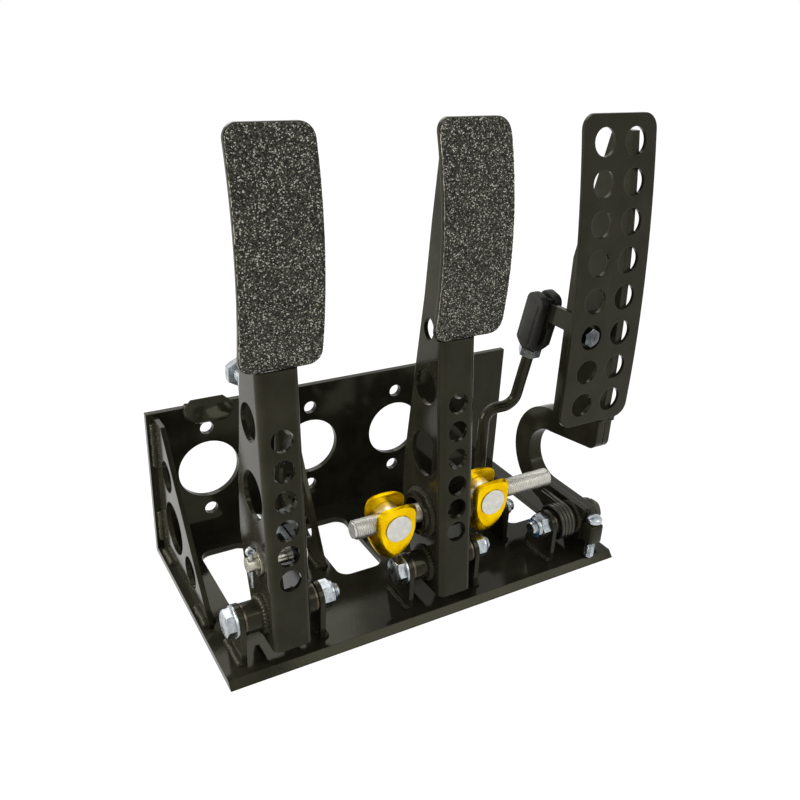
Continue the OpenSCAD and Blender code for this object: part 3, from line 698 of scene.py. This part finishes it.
def gripSheet(name, node, body, s):
    low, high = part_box(node)
    w, h = high.x - low.x, high.z - low.z
    mid = (low + high) / 2
    bpy.ops.object.select_all(action="DESELECT")
    bpy.ops.mesh.primitive_grid_add(x_subdivisions=int(w / s["step"]), y_subdivisions=int(h / s["step"]),
                                    size=1)
    sheet = bpy.context.object
    bpy.ops.object.mode_set(mode="EDIT")
    bpy.ops.mesh.select_mode(type="VERT")
    bpy.ops.mesh.select_all(action="DESELECT")
    bpy.ops.object.mode_set(mode="OBJECT")
    for v in sheet.data.vertices:
        x, z = v.co.x * w, v.co.y * h
        overX = max(abs(x) - w / 2 + s["corner"], 0)
        overZ = max(abs(z) - h / 2 + s["corner"], 0)
        v.select = math.hypot(overX, overZ) > s["corner"]  # outside the rounded corners
        drop = mid.z + z - s["centre"].z
        v.co = (mid.x + x, s["centre"].y - math.sqrt(s["radius"] ** 2 - drop ** 2), mid.z + z)
    bpy.ops.object.mode_set(mode="EDIT")
    bpy.ops.mesh.delete(type="VERT")
    bpy.ops.object.mode_set(mode="OBJECT")
    grain = bpy.data.textures.new(name + "Grain", "VORONOI")
    grain.noise_scale = s["grain"]
    push = sheet.modifiers.new("grain", "DISPLACE")
    push.texture = grain
    push.texture_coords = "LOCAL"
    push.direction = "Y"
    push.strength = -s["rise"]
    push.mid_level = s["middle"]
    thick = sheet.modifiers.new("thick", "SOLIDIFY")
    thick.thickness = s["thick"]
    thick.offset = -1
    thick.material_offset_rim = 1
    paint(sheet, finishes["grip_grit"], finishes["paleEdge"])
    bake(sheet)
    done(fixNormals(sheet), name, body, "grip_grit", node, angle=80)


gripSheet("clutchGripSheet", "clutch_grip", "clutch", gripSetup)
gripSheet("brakeGripSheet", "brake_grip", "brake", gripSetup)
print("stage: grip sheets")

# wound throttle spring with its two legs
coilSetup = {"wire": 0.0026, "mean": 0.021, "turns": 4, "steps": 56, "leg": 0.0208, "squeeze": 0.97,
             "pivot": at(0, pivotY, pivotZ)}


def returnSpring(s):
    low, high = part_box("throttle_spring")
    r, big, pivot = s["wire"] / 2, s["mean"] / 2, s["pivot"]
    pitch = (high.x - low.x - s["wire"]) / (s["turns"] - 1) * s["squeeze"]
    steps = [t * math.pi / 6 for t in range(12)]
    ring = [(big + r * math.cos(t), r * math.sin(t)) for t in steps]
    coil = wound(ring, pitch, s["turns"], s["steps"])
    aimed(coil, (low.x + r, pivot.y, pivot.z), (1, 0, 0))
    coil.location.x = (low.x + high.x) / 2 - (low.x + r) - pitch * s["turns"] / 2
    settle(coil)
    tall = pivot.z - low.z
    down = turned([(0, 0), (r * 0.8, 0), (r, r * 0.3), (r, tall), (0, tall)], 16)
    aimed(down, (low.x + r, pivot.y + big, low.z), (0, 0, 1))
    tip = s["leg"] + r * 0.3
    out = turned([(0, 0), (r, 0), (r, s["leg"]), (r * 0.7, tip), (0, tip)], 16)
    aimed(out, (high.x - r, pivot.y, pivot.z + big), (0, 1, 0))
    spring = paint(joined(down, out, coil), finishes["spring_steel"])
    done(spring, "woundSpring", "frame", "spring_steel", "throttle_spring", angle=60)


returnSpring(coilSetup)

# split pin with a small eye and two legs
splitSetup = {"x": 20.4, "y": 20.5, "z": 55, "pinR": 3.95, "wire": 0.0009, "eye": 0.0019, "stretch": 1.25,
              "eyeUp": 4, "legUp": 3, "spread": 0.05, "legs": {-1: 0.0205, 1: 0.0175}}


def splitPin(s):
    wire = s["wire"]
    bpy.ops.object.select_all(action="DESELECT")
    bpy.ops.mesh.primitive_torus_add(major_radius=s["eye"], minor_radius=wire, major_segments=32,
                                     minor_segments=12)
    eye = bpy.context.object
    eye.rotation_euler = (math.radians(90), 0, 0)
    eye.scale = (1, 1, s["stretch"])
    eye.location = at(s["x"], s["y"], s["z"] + s["pinR"] + s["eyeUp"])
    settle(eye)
    top = at(s["x"], s["y"], s["z"] + s["pinR"] + s["legUp"])
    legs = []
    for way, length in s["legs"].items():
        leg = turned([(0, 0), (wire * 0.7, 0), (wire, 0.0004), (wire, length), (0, length)], 14)
        lean = Vector((0, way * s["spread"], -1)).normalized()
        legs.append(aimed(leg, top + Vector((0, way * wire * 0.8, 0)) + lean * length, -lean))
    pin = paint(joined(*legs, eye), finishes["zinc"])
    done(pin, "splitPinDetail", "clutch", "zinc", "clutch_split_pin", angle=60)


splitPin(splitSetup)
print("stage: spring and split pin")

# clutch stop plate, tilted to meet the stop bolt squarely at full travel
tabSetup = {"wide": 0.030, "tall": 0.0145, "thick": 0.0042, "corner": 0.005, "soft": 0.0005, "tilt": 38,
            "face": at(36.5, 128.4, 92.5)}


def stopPlate(s):
    plate = block((s["wide"], s["thick"], s["tall"]), (0, s["thick"] / 2, 0))
    bevelEdges(plate, lambda a, b: abs(a.y - b.y) > s["thick"] / 2, s["corner"], 1)
    softened(plate, s["soft"], 2)
    plate.rotation_euler = (math.radians(-s["tilt"]), 0, 0)
    plate.location = s["face"]
    done(paint(settle(plate), finishes["black_coat"]), "stopPlate", "frame", "black_coat", "stop_tab")


stopPlate(tabSetup)

# the rear rim of the upper side hole in each pedal arm wall
rimSetup = {"wall": 2.46, "out": 9.75, "low": 154, "high": 173, "front": 31, "hole": (28.6, 163.5, 6.5),
            "edge": (40.54, 146), "taper": 0.12}


def sideRim(name, body, x, s):
    edgeY, edgeZ = s["edge"]
    bpy.ops.object.select_all(action="DESELECT")
    bpy.ops.mesh.primitive_cube_add(size=1)
    rim = bpy.context.object
    for v in rim.data.vertices:
        z = s["low"] if v.co.z < 0 else s["high"]
        y = s["front"] if v.co.y < 0 else edgeY - (z - edgeZ) * s["taper"]
        v.co = at(x + v.co.x * s["wall"], y, z)
    y, z, r = s["hole"]
    bpy.ops.object.select_all(action="DESELECT")
    bpy.ops.mesh.primitive_cylinder_add(vertices=64, radius=r / 1000, depth=0.02, location=at(x, y, z),
                                        rotation=(0, math.radians(90), 0))
    cutBy(rim, bpy.context.object)
    done(paint(rim, finishes["black_coat"]), name, body, "black_coat")


for side, x in pedalX.items():
    sideRim(side + "RimLeft", side, x - rimSetup["out"], rimSetup)
    sideRim(side + "RimRight", side, x + rimSetup["out"], rimSetup)
print("stage: stop plate and hole rims")

# turned clevises: a domed body with two flats, slotted for the bar and bored for its trunnion
clevisSetup = {"y": 26, "z": 54, "round": 0.029, "flat": 0.0196, "slot": 0.0136, "slotFloor": -0.009,
               "up": 0.0125, "down": 0.0219, "bore": 0.0163, "rod": 0.008, "merge": 0.00002}


def turnedClevis(name, node, body, x, s):
    r, up, down, merge = s["round"] / 2, s["up"], s["down"], s["merge"]
    dome = [(0.0055, -down), (0.007, -down * 0.94), (0.0087, -down * 0.83), (0.0104, -down * 0.7),
            (0.0122, -down * 0.52), (0.0136, -down * 0.33), (r, -down * 0.1)]
    shoulder = [(r, up - 0.005), (r - 0.0008, up - 0.0025), (r - 0.0025, up - 0.0008), (r - 0.005, up)]
    clevis = turned([(0, -down)] + dome + shoulder + [(0, up)], 96)
    cutBy(clevis, block((0.05, s["slot"], 0.04), (0, 0, s["slotFloor"] + 0.02)), merge=merge)
    for way in (-1, 1):
        beside = way * (s["flat"] / 2 + 0.01)
        cutBy(clevis, block((0.05, 0.02, 0.08), (0, beside, 0)), merge=merge)
    half = s["bore"] / 2
    drill = turned([(0, 0), (half, 0), (half, 0.06), (0, 0.06)], 64)
    cutBy(clevis, aimed(drill, (0, -0.03, 0), (0, 1, 0)), merge=merge)
    half = s["rod"] / 2
    cutBy(clevis, turned([(0, -0.03), (half, -0.03), (half, 0), (0, 0)], 32), merge=merge)
    clevis.location = at(x, s["y"], s["z"])
    done(paint(clevis, finishes["gold_anodised"]), name, body, "gold_anodised", node)


turnedClevis("leftClevisDetail", "left_clevis", "clevis_left", 105, clevisSetup)
turnedClevis("rightClevisDetail", "right_clevis", "clevis_right", 168.5, clevisSetup)

# idle stop lug with rounded edges, reaching up to the bolt's head
lugSetup = {"rise": 0.0055, "round": 0.0018}


def stopLug(s):
    low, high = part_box("throttle_stop_lug")
    high.z += s["rise"]
    lug = softened(block(high - low, (low + high) / 2), s["round"], 4)
    done(paint(lug, finishes["black_coat"]), "stopLugDetail", "throttle", "black_coat", "throttle_stop_lug")


stopLug(lugSetup)
print("stage: clevises and lug")

# weld beads: rows of flattened drops along the seams
weldSetup = {"step": 0.0017, "size": 0.0027, "squash": 0.66, "lumpScale": 0.003, "lump": 0.0009}


def drop(s, size):
    bpy.ops.object.select_all(action="DESELECT")
    bpy.ops.mesh.primitive_uv_sphere_add(segments=14, ring_count=8, radius=size or s["size"])
    bead = bpy.context.object
    bead.scale = (s["squash"], 1, 1)
    return settle(bead)


def finishWeld(bead, name, body, s):
    # uneven lumps, then the coat
    lumps = bpy.data.textures.new(name + "Lumps", "CLOUDS")
    lumps.noise_scale = s["lumpScale"]
    push = bead.modifiers.new("lumps", "DISPLACE")
    push.texture = lumps
    push.texture_coords = "LOCAL"
    push.strength = s["lump"]
    done(paint(bake(bead), finishes["black_coat"]), name, body, "black_coat", angle=70)


def weldLine(name, body, a, b, s=weldSetup):
    # a and b in millimetres from the front left corner of the base top
    start, end = at(*a), at(*b)
    bead = drop(s, 0)
    bead.rotation_mode = "QUATERNION"
    bead.rotation_quaternion = Vector((1, 0, 0)).rotation_difference(end - start)
    bead.location = start
    settle(bead)
    count = max(2, round((end - start).length / s["step"]))
    row = bead.modifiers.new("row", "ARRAY")
    row.use_relative_offset = False
    row.use_constant_offset = True
    row.constant_offset_displace = (end - start) / count
    row.count = count
    finishWeld(bake(bead), name, body, s)


def weldRing(name, body, centre, radius, s=weldSetup, share=1.0, first=0, size=0):
    # around a tube along X
    bead = drop(s, size)
    count = round(2 * math.pi * radius / 1000 / s["step"])
    bead.rotation_euler = (0, 0, math.radians(90))
    settle(bead)
    bead.location = (0, 0, radius / 1000)
    settle(bead)
    bead.rotation_euler = (math.radians(first), 0, 0)
    settle(bead)
    bpy.ops.object.empty_add(rotation=(2 * math.pi / count, 0, 0))
    turn = bpy.context.object
    row = bead.modifiers.new("row", "ARRAY")
    row.use_relative_offset = False
    row.use_object_offset = True
    row.offset_object = turn
    row.count = round(count * share)
    bake(bead)
    bpy.data.objects.remove(turn)
    bead.location = at(*centre)
    settle(bead)
    finishWeld(bead, name, body, s)


seams = {
    "throttleFootWeld": ((247, 8, 0.3), (251, 8, 0.3)),
    "gussetWeldTop": ((4, 133.6, 86), (4, 133.6, 58)),
    "gussetWeldLow": ((4, 133.6, 26), (4, 133.6, 6)),
    "gussetWeldRear": ((4, 128, 0.4), (4, 112, 0.4)),
    "gussetWeldToe": ((4, 66, 0.4), (4, 48, 0.4)),
    "gussetWeldInside": ((7, 70, 0.4), (7, 50, 0.4)),
    "midGussetWeld": ((82, 88, 0.4), (82, 68, 0.4)),
    "midGussetWeldRight": ((85, 84, 0.4), (85, 68, 0.4)),
}
earFeet = {"clutch_ears": (12, 34), "brake_ears": (12, 34), "throttle_ears": (12, 34), "link_ears": (43, 60)}
for node, (near, far) in earFeet.items():
    low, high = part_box(node)
    for side, x in (("Left", low.x), ("Right", high.x)):
        foot = (x + baseW / 2) * 1000
        seams[node.replace("_", "") + side + "Weld"] = ((foot, near, 0.3), (foot, far, 0.3))
seams["tabWeldLeft"] = ((24, 133.6, 93.2), (31, 133.6, 93.2))
seams["tabWeldRight"] = ((42, 133.6, 93.2), (49, 133.6, 93.2))
for name, (a, b) in seams.items():
    weldLine(name, "frame", a, b)

tubeR, biasR, wallOut = 8.5, 12.5, 11  # tube radii and the arm's half width
for side, x in pedalX.items():
    weldRing(side + "TubeWeldLeft", side, (x - wallOut, pivotY, pivotZ), tubeR)
    weldRing(side + "TubeWeldRight", side, (x + wallOut, pivotY, pivotZ), tubeR)
for end, x in (("Left", pedalX["brake"] - wallOut), ("Right", pedalX["brake"] + wallOut)):
    weldRing("biasWeld" + end, "brake", (x, clevisSetup["y"], clevisSetup["z"]), biasR)
weldRing("throttleTubeWeld", "throttle", (236, pivotY, pivotZ), tubeR)
weldRing("linkBossWeld", "link", (180.5, 52, 20), 7.0, share=0.1, first=-18, size=0.0012)
print("stage: welds")

# moulded fork at the top of the link
forkSetup = {"pin": at(205.5, 37, 157), "lean": 13.6, "wide": 0.0146, "low": -0.0202, "top": 0.0155,
             "round": 0.0052, "slot": 0.004, "floor": -0.0151, "neck": 0.0063, "hole": 0.0035,
             "soft": 0.0008, "panel": (0.0012, 0.0086, 0.026), "panelZ": -0.002, "panelSoft": 0.0005}


def mouldedFork(s):
    wide, low, top, neck = s["wide"], s["low"], s["top"], s["neck"]
    fork = block((wide, wide, top - low), (0, 0, (low + top) / 2))
    bevelEdges(fork, lambda a, b: abs(a.x - b.x) > 0.01 and a.z > 0, s["round"], 8)
    above, flare = top + 0.001, neck + (top - low) * 0.9
    cone = turned([(0, low), (neck, low), (flare, above), (0, above)], 48)
    slot = block((s["slot"], 0.05, 0.06), (0, 0, s["floor"] + 0.03))
    cutBy(fork, cone, "INTERSECT")
    cutBy(fork, slot)
    softened(fork, s["soft"], 3, 40)
    panels = []
    for way in (-1, 1):
        panel = block(s["panel"], (way * wide / 2, 0, s["panelZ"]))
        panels.append(softened(panel, s["panelSoft"], 3))
    under, over = low - 0.0002, low + 0.0006
    collar = turned([(s["hole"], under), (neck - 0.001, under), (neck, over), (s["hole"], over)], 32)
    whole = joined(collar, *panels, fork)
    whole.rotation_euler = (math.radians(s["lean"]), 0, 0)
    whole.location = s["pin"]
    done(paint(settle(whole), finishes["fork_plastic"]), "mouldedFork", "link", "fork_plastic", "link_fork")


mouldedFork(forkSetup)
print("stage: fork")

print("stage: done")
